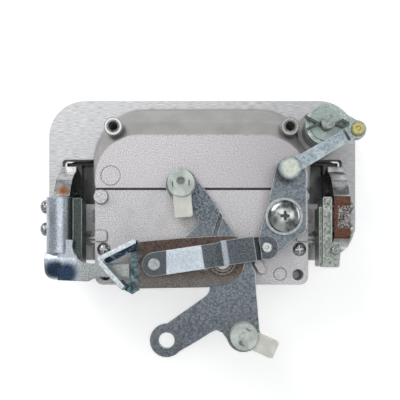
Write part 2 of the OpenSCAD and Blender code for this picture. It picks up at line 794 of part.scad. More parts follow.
module link_rivet_right() {
    top = link_right_z + 0.2 + link_t;
    color("silver") upright() translate([link_right_x, link_right_y, 0]) {
        translate([0, 0, crank_z - 0.1]) cylinder(r = rivet_r, h = top - crank_z + 0.2, $fn = bore_fn);
        translate([0, 0, top + 0.1]) rivet_head(3.3, 1.5);
        translate([0, 0, crank_z - 1]) cylinder(r = 3.2, h = 0.9);
    }
}

module bell_crank() {
    z0 = crank_z - 1;
    z1 = crank_top_z + 1;
    color("slategray") upright() difference() {
        union() {
            post(crank_top_x, crank_top_y, 7.6, crank_z, crank_top_z);
            post(58.1, -0.6, 4.6, crank_z, crank_top_z);
            post(58, -32, 4.7, crank_z, crank_top_z);
            post(link_right_x, link_right_y, 6.8, crank_z, crank_top_z);
            slab(crank_z, crank_top_z) polygon([[44.2, 2.4], [51.6, 8.2], [59.4, 3.5], [62.7, -0.6],
                [62.7, -32], [61.2, -35.3], [43.2, -49.7], [38.7, -51], [32.1, -44.4],
                [33.6, -40.1], [40.6, -15.3]]);
        }
        post(crank_x, crank_y, crank_screw_r + run_gap, z0, z1);
        post(link_right_x, link_right_y, rivet_r + run_gap, z0, z1);
        post(crank_top_x, crank_top_y, 2.2, z0, z1);
    }
}

module crank_washer() {
    color("silver") upright() translate([crank_x, crank_y, crank_top_z + 0.1]) difference() {
        cylinder(r = 11.2, h = 1.5);
        translate([0, 0, -1]) cylinder(r = crank_screw_r + 0.1, h = 4, $fn = bore_fn);
    }
}

module crank_screw() {
    z0 = crank_top_z + 1.6;
    color("silver") upright() translate([crank_x, crank_y, 0]) difference() {
        union() {
            translate([0, 0, z0]) dome_head(8.2, 4.4);
            translate([0, 0, plate_z - 6]) cylinder(r = crank_screw_r - 0.02, h = z0 - plate_z + 6 + e,
                $fn = bore_fn);
        }
        translate([0, 0, z0 + 4.4]) cross_recess(8.4, 1.5, 2.6);
        translate([0, 0, z0 + 4.4]) rotate(4) translate([-9, -0.8, -1.5]) cube([18, 1.6, 3]);
    }
}

// Side view of the upper strap
module strap_side() {
    t = strap_t;
    path = [[-8, strap_z], [strap_len - 9, strap_z], [strap_len - 6.4, strap_end_z],
        [strap_len + 8, strap_end_z]];
    polygon(concat(path, [for (i = [len(path) - 1:-1:0]) path[i] + [0, t]]));
}

module upper_strap() {
    z0 = strap_end_z - 1;
    z1 = strap_z + strap_t + 1;
    color("lightsteelblue") upright() translate([crank_top_x, crank_top_y, 0]) rotate(strap_angle)
        difference() {
            intersection() {
                union() {
                    strap([0, 0], [strap_len, 0], strap_half_w + 0.6, strap_half_w, z0, z1);
                    post(strap_len, 0, 5.2, z0, z1);
                }
                translate([0, 10, 0]) rotate([90, 0, 0]) linear_extrude(20) strap_side();
            }
            for (x = [0, strap_len]) post(x, 0, rivet_r + run_gap, z0, z1);
        }
}

module strap_rivet() {
    color("silver") upright() translate([crank_top_x, crank_top_y, 0]) {
        translate([0, 0, crank_top_z + seat]) cylinder(r = 4.6, h = strap_z - 0.1 - crank_top_z - seat);
        translate([0, 0, strap_z - 0.1 - e]) cylinder(r = rivet_r, h = strap_t + 0.3, $fn = bore_fn);
        translate([0, 0, strap_z + strap_t + 0.1]) rotate_extrude($fn = 64)
            polygon([[0, 0], [6.7, 0], [6.7, 1.8], [5.9, 2.6], [0, 2.6]]);
    }
}

module cam_rivet() {
    color("darkkhaki") upright() translate([cam_rivet_x, cam_rivet_y, 0]) {
        translate([0, 0, cam_z - 0.1]) cylinder(r = rivet_r, h = strap_end_z + strap_t - cam_z + 0.3,
            $fn = bore_fn);
        translate([0, 0, strap_end_z + strap_t + 0.1]) rivet_head(4.1, 2.2);
        translate([0, 0, cam_z - 1.1]) cylinder(r = 3.6, h = 1);
    }
}

module cam_plate() {
    color("lightsteelblue") upright() difference() {
        strap([lock_x, lock_y], [cam_rivet_x, cam_rivet_y], cam_r, 5.6, cam_z, cam_top);
        post(lock_x, lock_y, shaft_r + 0.02, cam_z - 1, cam_top + 1);
        post(cam_rivet_x, cam_rivet_y, rivet_r + 0.02, cam_z - 1, cam_top + 1);
    }
}

module lock_body() {
    color("darkgray") upright() difference() {
        union() {
            post(lock_x, lock_y, lock_r, front_z - e, cam_z - 1);
            translate([lock_x, lock_y, front_z - 3]) rotate_extrude()
                polygon([[0, 0], [12, 0], [13.2, 1.2], [13.2, 3], [0, 3]]);
            post(lock_x, lock_y, lock_r + 0.9, cam_z - 5, cam_z - 2.6);
        }
        post(lock_x, lock_y, plug_r + run_gap, front_z - 4, cam_z);
    }
}

module lock_plug() {
    color("silver") upright() difference() {
        union() {
            post(lock_x, lock_y, plug_r, front_z - 3.4, cam_z - 0.1);
            post(lock_x, lock_y, shaft_r, cam_z - 0.2, shaft_end);
        }
        translate([lock_x - 3.6, lock_y - 0.7, front_z - 4]) cube([7.2, 1.4, 9]);
        translate([lock_x - 10, lock_y - 0.2, strap_z + 0.4]) rotate([0, 90, 0])
            cylinder(r = wire_t / 2 + 0.5, h = 20, $fn = bore_fn);
    }
}

module tail_washer() {
    color("darkseagreen") upright() translate([lock_x, lock_y, cam_top + 0.1]) difference() {
        cylinder(r = 9.7, h = tail_washer_t);
        translate([0, 0, -1]) cylinder(r = shaft_r + 0.1, h = 4, $fn = bore_fn);
    }
}

// A flat wire between two points of the plate plane
module wire(a, b, r, z) {
    d = b - a;
    translate(a) rotate(atan2(d[1], d[0])) translate([-r / 2, -r, z]) cube([norm(d) + r, 2 * r, wire_t]);
}

module cotter_pin() {
    z = strap_z + 0.4 - wire_t / 2;
    y = lock_y - 0.2;
    wire_r = 0.7;
    root = [lock_x - 5, y];
    neck = [lock_x + 5, y];
    tip = [lock_x + 12.5, y + 0.2];
    color("gray") upright() {
        wire(root, neck, 0.8, z);
        wire(root, [lock_x - 12.6, y + 4.2], wire_r, z);
        wire(root, [lock_x - 11.4, y - 3], wire_r, z);
        for (bend = [[lock_x + 9.2, y + 2.1], [lock_x + 9.2, y - 1.7]]) {
            wire(neck, bend, wire_r, z);
            wire(bend, tip, wire_r, z);
        }
    }
}

// A plastic rod clip on a bore of the rotor, tail along its own -y before turning
module rod_clip(at, turn, arm_z, arm_top) {
    z0 = arm_top + 0.2;
    translate([at[0], at[1], 0]) rotate(turn) difference() {
        union() {
            translate([0, 0, z0]) cylinder(r1 = clip_head_r, r2 = clip_head_r - 0.4, h = clip_t);
            slab(z0 + 0.4, z0 + clip_t - 1.2) rounded(-clip_w / 2, clip_w / 2, -clip_len, 0, 1.4);
            post(0, 0, clip_bore_r - run_gap, arm_z - 0.1, z0 + e);
            post(0, 0, clip_bore_r + 0.45, arm_z - 0.9, arm_z - 0.09);
        }
        translate([0, -clip_len - 1, z0 + 3.9]) rotate([-90, 0, 0]) cylinder(r = rod_r, h = clip_len + 2,
            $fn = bore_fn);
        translate([0, 1.2, z0 + clip_t]) scale([1.5, 1, 1]) cylinder(r = 1.7, h = 1.6, center = true);
        for (side = [-1, 1]) translate([side * 4.8 - 0.35, -2.2, z0 + clip_t - 1.4]) cube([0.7, 3.2, 2]);
    }
}

module rod_clip_upper() {
    color("honeydew") upright() rod_clip(clip_upper, 5, low_rotor_z, low_rotor_top);
}

module rod_clip_lower() {
    color("honeydew") upright() rod_clip(clip_lower, 66, rotor_z, rotor_top);
}

face_housing();
mechanism_plate();
plate_screws();
pull_handle();
hinge_pin();
pin_nuts();
torsion_spring_left();
torsion_spring_right();
left_bracket();
right_bracket();
left_side_screws();
right_side_screws();
bracket_rivet();
rotor_plate();
pivot_post();
hub_washer();
guide_pin();
v_lever();
mid_link();
link_rivet_left();
link_rivet_right();
bell_crank();
crank_screw();
crank_washer();
upper_strap();
strap_rivet();
cam_rivet();
cam_plate();
lock_body();
lock_plug();
tail_washer();
cotter_pin();
rod_clip_upper();
rod_clip_lower();
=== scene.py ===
import json
import math

import bmesh
import bpy
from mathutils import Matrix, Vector


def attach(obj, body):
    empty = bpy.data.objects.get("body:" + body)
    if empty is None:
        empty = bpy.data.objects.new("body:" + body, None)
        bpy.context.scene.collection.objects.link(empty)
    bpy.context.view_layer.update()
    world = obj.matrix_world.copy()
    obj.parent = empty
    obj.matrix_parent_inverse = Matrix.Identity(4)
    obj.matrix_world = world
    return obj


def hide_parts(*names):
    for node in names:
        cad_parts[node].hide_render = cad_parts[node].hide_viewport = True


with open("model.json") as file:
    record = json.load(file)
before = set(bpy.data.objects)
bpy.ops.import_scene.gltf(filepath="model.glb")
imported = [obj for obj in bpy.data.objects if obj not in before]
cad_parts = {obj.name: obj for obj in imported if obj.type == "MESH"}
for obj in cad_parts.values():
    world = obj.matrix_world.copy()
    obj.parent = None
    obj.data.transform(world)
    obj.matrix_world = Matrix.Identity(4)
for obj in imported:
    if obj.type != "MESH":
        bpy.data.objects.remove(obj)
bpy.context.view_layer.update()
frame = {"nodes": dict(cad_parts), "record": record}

MM = 0.001
JOINTS = {joint["name"]: joint for joint in frame["record"]["behaviour"]["joints"]}


def at(x, y, height):
    """A place in metres, from mm across, mm up and mm above the flange towards the viewer."""
    return Vector((x, -height, y)) * MM


def axis_mm(joint_name):
    """Where a joint's axis crosses the flange, in mm across and up."""
    x, _, z = JOINTS[joint_name]["pos_m"]
    return x / MM, z / MM


def tone(r, g, b):
    """A colour given as the 0 to 255 values of a picture, made linear."""
    def linear(v):
        v = v / 255.0
        return v / 12.92 if v <= 0.04045 else ((v + 0.055) / 1.055) ** 2.4
    return (linear(r), linear(g), linear(b), 1.0)


# Directions, for someone who looks at the mechanism
RIGHT = (1, 0, 0)
LEFT = (-1, 0, 0)
UP = (0, 0, 1)
DOWN = (0, 0, -1)
INWARD = (0, 1, 0)
OUTWARD = (0, -1, 0)

# Camera, in millimetres of the frame and pixels of the square picture
CAMERA_MM = (5.1, -400.0, -53.2)
FOCAL_PX = 612.0
PICTURE_PX = 400.0
CENTRE_PX = (210.0, 262.0)
SENSOR_MM = 36.0

# Stage, in metres
BACKDROP_Y = 0.0185
BACKDROP_HALF = 0.32
BACKDROP_TOP = 0.3
FLOOR_Z = -0.16
FLOOR_HALF = 1.6
FLOOR_GAP = 0.001

# Brightness of the stage
PAPER = 0.93
FLOOR_GLOW = 0.5
BACKDROP_GLOW = 0.42
SURROUNDINGS = (0.80, 0.83, 0.86, 1)
SURROUNDINGS_STRENGTH = 0.32

# Spreads of a noise over which a speckle turns from dark to light, from soft to sharp
SOFT = (0.3, 0.7)
GENTLE = (0.35, 0.65)
FIRM = (0.38, 0.62)
CRISP = (0.4, 0.6)
SHARP = (0.42, 0.58)

# Heights above the flange, mm
CUP_RIM = 0.6
CUP_BACK = 26.2
BOSS_TOP = 29.0
SCREW_SEAT = 36.7
SCREW_TOP = 41.2
CROSS_DEPTH = 2.2
UPPER_HEAD_TOP = 40.0
LOWER_HEAD_TOP = 41.7

# Top edge of the plate, mm up, and the painted shadow in the gap between it and the cup's back
PLATE_TOP = -9.0
GAP_SHADOW = tone(30, 28, 30)

# Places in the finishes
BOSS_TOPS = (at(-53.7, 29.2, BOSS_TOP), at(53.7, 29.2, BOSS_TOP))
CROSS_FLOOR = at(*axis_mm("crank_turn"), SCREW_TOP - CROSS_DEPTH)
REFLECTION_POOL_LEFT = at(-87, -59, 37)
REFLECTION_POOL_RIGHT = at(-80, -60, 37)
ARM_RUST = at(-85.2, -8, 27)
STRAP_RIVET = at(51.6, 1.2, 47.1)
LINK_RIVET = at(-27.8, -54.6, 42.5)
UPPER_HEAD = at(*axis_mm("rod_clip_upper_turn"), UPPER_HEAD_TOP)
LOWER_HEAD = at(*axis_mm("rod_clip_lower_turn"), LOWER_HEAD_TOP)
UPPER_DIMPLE = at(-12.1, -5.4, UPPER_HEAD_TOP)
LOWER_DIMPLE = at(23.0, -100.2, LOWER_HEAD_TOP)

# Direction of the middle link at rest
LINK_WAY = (0.9889, 0.0, 0.1487)


def math_node(tree, operation, a, b):
    """The result of a math node on two values, each a number or a socket."""
    made = tree.nodes.new("ShaderNodeMath")
    made.operation = operation
    for socket, value in zip(made.inputs, (a, b)):
        if isinstance(value, (int, float)):
            socket.default_value = value
        else:
            tree.links.new(value, socket)
    return made.outputs["Value"]


class Finish:
    """A node material that is built up step by step in the object's own coordinates."""

    def __init__(self, name, metallic, roughness):
        self.material = bpy.data.materials.new(name)
        self.material.use_nodes = True
        self.tree = self.material.node_tree
        self.shader = self.tree.nodes["Principled BSDF"]
        self.shader.inputs["Metallic"].default_value = metallic
        self.shader.inputs["Roughness"].default_value = roughness
        self.place = self.tree.nodes.new("ShaderNodeTexCoord").outputs["Object"]
        self.normal = self.tree.nodes.new("ShaderNodeNewGeometry").outputs["Normal"]
        self.shade = None

    def node(self, kind, **values):
        made = self.tree.nodes.new(kind)
        for key, value in values.items():
            setattr(made, key, value)
        return made

    def link(self, source, target):
        self.tree.links.new(source, target)

    def math(self, operation, a, b):
        return math_node(self.tree, operation, a, b)

    def times(self, a, b):
        """The product: a mask made weaker, or the part that two masks share."""
        return self.math("MULTIPLY", a, b)

    def either(self, a, b):
        """The larger of two masks."""
        return self.math("MAXIMUM", a, b)

    def noise(self, size_mm, detail=3.0, stretch=(1.0, 1.0, 1.0), rough=0.55):
        """Soft noise, with each axis scaled by stretch for streaks and brushing."""
        mapping = self.node("ShaderNodeMapping")
        mapping.inputs["Scale"].default_value = stretch
        self.link(self.place, mapping.inputs["Vector"])
        made = self.node("ShaderNodeTexNoise")
        made.inputs["Scale"].default_value = 1.0 / (size_mm * MM)
        made.inputs["Detail"].default_value = detail
        made.inputs["Roughness"].default_value = rough
        self.link(mapping.outputs["Vector"], made.inputs["Vector"])
        return made.outputs["Fac"]

    def grain(self, size_mm=0.6):
        """Harsh fine noise, as cast sand or plating shows."""
        return self.noise(size_mm, 5.0, rough=0.85)

    def cells(self, size_mm):
        """Flat crystal cells with a random shade each, as on zinc plating."""
        made = self.node("ShaderNodeTexVoronoi")
        made.inputs["Scale"].default_value = 1.0 / (size_mm * MM)
        self.link(self.place, made.inputs["Vector"])
        grey = self.node("ShaderNodeRGBToBW")
        self.link(made.outputs["Color"], grey.inputs["Color"])
        return grey.outputs["Val"]

    def span(self, value, low, high, to_low=0.0, to_high=1.0):
        """A value taken smoothly from to_low at low to to_high at high."""
        made = self.node("ShaderNodeMapRange", interpolation_type="SMOOTHSTEP")
        made.inputs["From Min"].default_value = low
        made.inputs["From Max"].default_value = high
        made.inputs["To Min"].default_value = to_low
        made.inputs["To Max"].default_value = to_high
        self.link(value, made.inputs["Value"])
        return made.outputs["Result"]

    def sweep(self, field, direction, low, high):
        """0 to 1 as a vector field passes from low to high along a direction."""
        made = self.node("ShaderNodeVectorMath", operation="DOT_PRODUCT")
        made.inputs[1].default_value = direction
        self.link(field, made.inputs[0])
        return self.span(made.outputs["Value"], low, high)

    def along(self, direction, low_mm, high_mm):
        """0 to 1 as the place passes from low to high along a direction."""
        return self.sweep(self.place, direction, low_mm * MM, high_mm * MM)

    def band(self, direction, rise_mm, fall_mm):
        """1 between a rise and a fall along a direction, each a pair from its lower to its upper end."""
        return self.times(self.along(direction, *rise_mm), self.along(direction, *reversed(fall_mm)))

    def facing(self, direction, low, high):
        """0 to 1 as a face turns towards a direction, between two cosines."""
        return self.sweep(self.normal, direction, low, high)

    def near(self, point, inner_mm, outer_mm):
        """1 close to a point, 0 away from it."""
        made = self.node("ShaderNodeVectorMath", operation="DISTANCE")
        made.inputs[1].default_value = point
        self.link(self.place, made.inputs[0])
        return self.span(made.outputs["Value"], inner_mm * MM, outer_mm * MM, 1.0, 0.0)

    def edges(self, radius_mm=0.8):
        """1 along the edges, where a painted highlight stands for their rounding and a plating is rubbed
        bright, and 0 on the faces.
        """
        soft = self.node("ShaderNodeBevel", samples=4)
        soft.inputs["Radius"].default_value = radius_mm * MM
        made = self.node("ShaderNodeVectorMath", operation="DOT_PRODUCT")
        self.link(soft.outputs["Normal"], made.inputs[0])
        self.link(self.normal, made.inputs[1])
        return self.span(made.outputs["Value"], 0.90, 0.99, 1.0, 0.0)

    def painted_corner_shade(self, reach_mm=2.0):
        """Painted shade: 1 in a piece's own inner corners, where ambient occlusion finds little open
        space, and 0 on its open faces.
        """
        shade = self.node("ShaderNodeAmbientOcclusion", samples=8, only_local=True)
        shade.inputs["Distance"].default_value = reach_mm * MM
        return self.span(shade.outputs["AO"], 0.45, 0.92, 1.0, 0.0)

    def highlight_fans(self, centre, count, turn):
        """Painted highlight: soft light and dark fans about a screw's axis, 0 to 1, as the reflections
        on a polished dome show.
        """
        place = self.node("ShaderNodeSeparateXYZ")
        self.link(self.place, place.inputs["Vector"])
        across = self.math("SUBTRACT", place.outputs["X"], centre.x)
        up = self.math("SUBTRACT", place.outputs["Z"], centre.z)
        angle = self.times(self.math("ARCTAN2", up, across), count)
        wave = self.math("SINE", self.math("ADD", angle, turn), 0.0)
        return self.span(wave, -0.6, 0.9)

    def mix(self, factor, a, b):
        """A colour between a and b, each a colour or a socket."""
        made = self.node("ShaderNodeMix", data_type="RGBA")
        self.link(factor, made.inputs["Factor"])
        sockets = [s for s in made.inputs if s.type == "RGBA"]
        for socket, value in zip(sockets, (a, b)):
            if isinstance(value, tuple):
                socket.default_value = value
            else:
                self.link(value, socket)
        return [s for s in made.outputs if s.type == "RGBA"][0]

    def two_tone(self, noise, spread, dark, light):
        """Dark turning to light as a noise passes through a spread."""
        return self.mix(self.span(noise, *spread), dark, light)

    def stain(self, base, mask, strength, over):
        """A base with another colour laid over it in a mask, at a strength from 0 to 1."""
        return self.mix(self.times(mask, strength), base, over)

    def colour(self, value):
        self.shade = value
        self.link(value, self.shader.inputs["Base Color"])

    def rough(self, value, low, high):
        self.link(self.span(value, 0.25, 0.75, low, high), self.shader.inputs["Roughness"])

    def relief(self, value, height_mm, edge_mm):
        """Bump from a value, over edges that are rounded by edge_mm."""
        round_edge = self.node("ShaderNodeBevel", samples=4)
        round_edge.inputs["Radius"].default_value = edge_mm * MM
        bump = self.node("ShaderNodeBump")
        bump.inputs["Distance"].default_value = height_mm * MM
        bump.inputs["Strength"].default_value = 1.0
        self.link(value, bump.inputs["Height"])
        self.link(round_edge.outputs["Normal"], bump.inputs["Normal"])
        self.link(bump.outputs["Normal"], self.shader.inputs["Normal"])


def cast_housing():
    """Light die casting: brushed flange with painted shade towards its right, smooth cup walls, sandy
    cup back with a painted shadow above the plate, ringed boss faces, and painted shade in the corners.
    """
    f = Finish("cast_housing", 0.35, 0.5)
    brush = f.noise(0.5, 4.0, stretch=(0.1, 1.0, 1.8))
    sand = f.grain()
    flange = f.two_tone(brush, (0.34, 0.62), tone(186, 186, 188), tone(232, 232, 233))
    # Painted shade: the flange darker towards the right, away from the light from the upper left.
    flange = f.stain(flange, f.along(RIGHT, -70, 80), 0.26, tone(150, 150, 152))

    wall = f.two_tone(f.noise(16.0), SOFT, tone(150, 149, 148), tone(176, 175, 173))
    wall = f.two_tone(sand, (0.3, 0.75), wall, tone(186, 184, 183))
    back = f.two_tone(sand, CRISP, tone(164, 160, 162), tone(246, 242, 245))
    back = f.stain(back, f.along(RIGHT, -40, 70), 0.3, tone(150, 145, 148))
    # Painted shadow: a dark band on the cup's back just above the plate's top edge.
    shadow_band = f.band(UP, (PLATE_TOP, PLATE_TOP + 0.4), (PLATE_TOP + 0.9, PLATE_TOP + 1.3))
    back = f.stain(back, shadow_band, 0.85, GAP_SHADOW)
    cup = f.mix(f.along(OUTWARD, CUP_BACK - 0.3, CUP_BACK + 0.3), wall, back)

    worn = f.two_tone(sand, SHARP, tone(160, 157, 156), tone(212, 209, 208))
    rings = (
        (5.5, 6.2, f.two_tone(sand, CRISP, tone(84, 82, 80), tone(168, 166, 164))),
        (5.0, 5.3, f.mix(f.along(RIGHT, -10, 10), tone(232, 231, 229), worn)),
        (3.8, 4.1, f.two_tone(sand, SHARP, tone(66, 64, 62), tone(176, 174, 172))),
        (2.8, 3.1, tone(52, 50, 50)),
    )
    for place in BOSS_TOPS:
        for inner, outer, shade in rings:
            cup = f.mix(f.near(place, inner, outer), cup, shade)

    body = f.mix(f.along(OUTWARD, CUP_RIM, CUP_RIM + 0.6), flange, cup)
    # Painted shade: the casting's inner corners darkened by ambient occlusion.
    f.colour(f.stain(body, f.painted_corner_shade(3.0), 0.55, tone(96, 94, 94)))
    f.rough(sand, 0.42, 0.62)
    f.relief(f.math("ADD", sand, f.times(brush, 0.6)), 0.09, 0.6)
    return f.material


def cast_plate():
    """Sandy die casting with a few pits, a painted shadow along its upper edge where it meets the cup,
    and painted shade in its corners.
    """
    f = Finish("cast_plate", 0.35, 0.52)
    sand = f.grain()
    base = f.two_tone(sand, CRISP, tone(162, 160, 161), tone(245, 242, 244))
    base = f.stain(base, f.span(f.noise(12.0), 0.45, 0.75), 0.3, tone(165, 161, 164))
    pits = f.span(f.noise(2.2, 2.0, rough=0.7), 0.70, 0.76)
    base = f.stain(base, pits, 0.7, tone(96, 92, 94))
    # Painted shadow: the plate's top edge darkened where it meets the cup's back.
    base = f.stain(base, f.along(UP, PLATE_TOP - 0.6, PLATE_TOP - 0.2), 0.85, GAP_SHADOW)
    # Painted shade: the plate's inner corners darkened by ambient occlusion.
    f.colour(f.stain(base, f.painted_corner_shade(), 0.8, tone(72, 68, 70)))
    f.rough(sand, 0.45, 0.65)
    f.relief(sand, 0.09, 0.6)
    return f.material


def plated_handle():
    """Plated arms with painted shade on their inner flanks, a brushed grip with painted shade on its
    back where the slots show it, and rust on the arms.
    """
    f = Finish("plated_handle", 0.9, 0.22)
    speckle = f.noise(0.6, 4.0)
    smear = f.noise(6.0, 4.0)
    brushed = f.noise(0.5, 4.0, stretch=(0.06, 1.0, 1.6))
    arms = f.two_tone(smear, GENTLE, tone(150, 150, 150), tone(205, 205, 206))
    grip = f.two_tone(brushed, SOFT, tone(168, 169, 170), tone(202, 203, 204))
    grip = f.stain(grip, f.span(smear, 0.4, 0.7), 0.15, tone(150, 151, 152))
    plate = f.mix(f.along(INWARD, 0, 6), arms, grip)
    plate = f.mix(f.near(ARM_RUST, 3.0, 6.0), plate, tone(150, 92, 44))

    rust = f.two_tone(speckle, CRISP, tone(56, 37, 30), tone(94, 64, 50))
    dots = f.two_tone(speckle, (0.46, 0.60), tone(42, 34, 34), tone(150, 145, 145))
    dotted = f.times(f.band(UP, (-33.0, -32.2), (-19.4, -18.6)), f.along(RIGHT, 82.6, 83.4))
    pad = f.times(f.along(OUTWARD, 26.5, 27.5), f.along(UP, -39.5, -38.5))
    plate = f.mix(pad, plate, f.mix(dotted, rust, dots))

    # Painted shade: the arms' inner flanks and the grip's back, which lie in the dark slots, painted
    # near black.
    left_flank_shade = f.times(f.facing(RIGHT, 0.6, 0.8), f.along(LEFT, 0, 10))
    right_flank_shade = f.times(f.facing(LEFT, 0.6, 0.8), f.along(RIGHT, 0, 10))
    behind = f.times(f.band(INWARD, (-4, 2), (15.0, 15.8)), f.facing(OUTWARD, -0.2, 0.3))
    dark = f.either(f.times(f.either(left_flank_shade, right_flank_shade), 0.92), f.times(behind, 0.9))
    f.colour(f.mix(dark, plate, tone(14, 14, 15)))
    f.rough(smear, 0.16, 0.34)
    f.relief(speckle, 0.01, 0.5)
    return f.material


def zinc(name, dark, light, tint, tint_mm=14.0, size_mm=0.6):
    """Zinc plating, to be used as it is or layered over: speckle, crystal cells, tint, and edges made
    bright by painted highlight and wear.
    """
    f = Finish(name, 0.85, 0.35)
    fine = f.grain(size_mm)
    spangle = f.math("ADD", f.times(fine, 0.8), f.times(f.cells(1.1), 0.2))
    shade = f.two_tone(spangle, (0.34, 0.66), dark, light)
    shade = f.stain(shade, f.span(f.noise(tint_mm, 2.0), 0.45, 0.65), 0.35, tint)
    # Painted highlight with wear: the edges made brighter.
    f.colour(f.stain(shade, f.edges(), 0.85, tone(232, 238, 240)))
    f.rough(spangle, 0.26, 0.46)
    f.relief(fine, 0.02, 0.45)
    return f


def bright_zinc():
    """Bright plating with a painted dark reflection on the link's right half and its left end, and a
    painted highlight kept on the right half's ridge.
    """
    f = zinc("bright_zinc", tone(164, 174, 182), tone(214, 224, 232), tone(156, 166, 172))
    bright = f.shade
    # Painted reflection: the link's faces that reflect little are darkened, with bright edges of painted
    # highlight and wear.
    dark_reflection = f.two_tone(f.grain(), FIRM, tone(34, 40, 45), tone(106, 112, 117))
    dark_reflection = f.stain(dark_reflection, f.edges(), 0.8, tone(222, 228, 230))
    # Painted highlight: the ridge is mostly kept bright.
    ridge_highlight = f.times(f.band(LINK_WAY, (4.6, 5.6), (7.6, 8.8)), 0.7)
    right_half = f.times(f.along(LINK_WAY, -7.0, -6.2), f.along(LEFT, -47.8, -47.0))
    right_half = f.times(right_half, f.math("SUBTRACT", 1.0, ridge_highlight))
    left_end = f.times(f.along(LEFT, 20.2, 20.9), f.along(RIGHT, -39.5, -39.0))
    link = f.along(DOWN, 30, 34)
    f.colour(f.mix(f.times(f.either(right_half, left_end), link), bright, dark_reflection))
    return f.material


def spangled_zinc():
    """Blue-grey spangled plating, with coarser flecks on the rotor's upper arm."""
    f = zinc("spangled_zinc", tone(60, 68, 76), tone(138, 145, 151), tone(112, 112, 114), 30.0)
    arm = f.times(f.along(UP, -40, -24), f.along(LEFT, -30, -22))
    fleck = f.two_tone(f.grain(1.3), (0.42, 0.60), tone(28, 35, 42), tone(126, 134, 140))
    shade = f.stain(f.shade, arm, 0.8, fleck)
    # Painted highlight with wear: the edges made bright again over the flecks.
    f.colour(f.stain(shade, f.edges(), 0.9, tone(236, 242, 243)))
    return f.material


def lever_zinc():
    """Brown passivated V lever that is greyer below, blue-green at its wings and pale on their tops."""
    f = zinc("lever_zinc", tone(40, 33, 30), tone(98, 82, 75), tone(96, 88, 72), 6.0)
    grey = f.two_tone(f.grain(), FIRM, tone(68, 66, 64), tone(134, 132, 130))
    shade = f.stain(f.shade, f.along(DOWN, 56, 66), 0.75, grey)
    teal = f.two_tone(f.noise(3.0, 4.0), GENTLE, tone(34, 56, 64), tone(120, 156, 160))
    shade = f.mix(f.along(LEFT, 34, 43), shade, teal)
    pale = f.two_tone(f.noise(2.0), GENTLE, tone(176, 186, 194), tone(216, 222, 226))
    f.colour(f.mix(f.along(OUTWARD, 47.4, 47.8), shade, pale))
    return f.material


def bracket_zinc():
    """Grainy bright pressing with a painted dark blue reflection pooled on its foot, a dull foot arm,
    painted shade on its inner plate and right-facing faces, and painted highlight with wear along its
    edges.
    """
    f = Finish("bracket_zinc", 0.8, 0.3)
    fine = f.noise(0.75, 5.0, rough=0.9)
    wave = f.noise(9.0, 2.0, stretch=(1.2, 1.0, 0.6))
    speck = f.span(fine, 0.36, 0.64)
    shade = f.mix(speck, tone(136, 144, 158), tone(232, 240, 246))
    shade = f.stain(shade, f.span(wave, 0.4, 0.62), 0.45, tone(136, 142, 152))
    foot_arm = f.times(f.along(RIGHT, -74.5, -70.5), f.along(DOWN, 50, 52))
    shade = f.stain(shade, foot_arm, 0.75, f.mix(speck, tone(84, 86, 82), tone(188, 190, 186)))
    # Painted reflection: a dark blue pool where the rounded foot turns down.
    reflection_pool = f.either(f.near(REFLECTION_POOL_LEFT, 4.4, 9.2), f.near(REFLECTION_POOL_RIGHT, 3.6, 8.8))
    shade = f.mix(reflection_pool, shade, f.mix(speck, tone(12, 22, 42), tone(66, 88, 116)))
    # Painted shade: the inner plate and the faces turned to the right, away from the light, made dark
    # green.
    inner = f.times(f.along(RIGHT, -79.6, -79.0), f.along(UP, -53.0, -50.5))
    inner = f.times(inner, f.along(INWARD, -36.2, -35.2))
    inner = f.either(inner, f.facing(RIGHT, 0.4, 0.85))
    shade = f.stain(shade, inner, 0.92, f.mix(speck, tone(14, 22, 18), tone(66, 80, 72)))
    # Painted highlight with wear along the edges, weaker over the painted reflection pool.
    lit_and_rubbed_edges = f.times(f.edges(), f.math("SUBTRACT", 0.8, f.times(reflection_pool, 0.7)))
    f.colour(f.mix(lit_and_rubbed_edges, shade, tone(226, 236, 236)))
    f.rough(fine, 0.24, 0.42)
    f.relief(f.math("ADD", wave, f.times(fine, 0.15)), 0.07, 1.4)
    return f.material


def wing_blue():
    """Dark blue plating with pale smears, inside the V lever's upper wing."""
    f = Finish("wing_blue", 0.85, 0.3)
    fine = f.grain()
    smear = f.noise(2.4, 4.0, stretch=(0.6, 1.0, 1.4))
    dark = f.two_tone(fine, FIRM, tone(28, 40, 54), tone(66, 84, 100))
    f.colour(f.two_tone(smear, (0.5, 0.72), dark, tone(150, 176, 190)))
    f.rough(fine, 0.24, 0.4)
    f.relief(fine, 0.02, 0.3)
    return f.material


def steel(name, dark, light, size_mm=1.2, roughness=(0.2, 0.42), metallic=0.9):
    """Turned and plated steel with a faint mottle."""
    f = Finish(name, metallic, 0.3)
    mottle = f.noise(size_mm, 4.0, rough=0.65)
    f.colour(f.two_tone(mottle, (0.25, 0.75), dark, light))
    f.rough(mottle, *roughness)
    f.relief(mottle, 0.008, 0.3)
    return f.material


def rivet_disc(name, centre, radius_mm, dark, light):
    """A flat rivet head with a paler middle in a grey ring."""
    f = Finish(name, 0.7, 0.3)
    mottle = f.noise(2.0, 4.0, rough=0.65)
    ring = f.two_tone(mottle, SOFT, tone(112, 122, 124), tone(176, 184, 184))
    disc = f.two_tone(mottle, SOFT, dark, light)
    shade = f.mix(f.near(centre, radius_mm, radius_mm * 1.12), ring, disc)
    # Painted highlight with wear along the rivet head's edges.
    f.colour(f.stain(shade, f.edges(), 0.6, tone(214, 220, 220)))
    f.rough(mottle, 0.28, 0.46)
    f.relief(mottle, 0.008, 0.4)
    return f.material


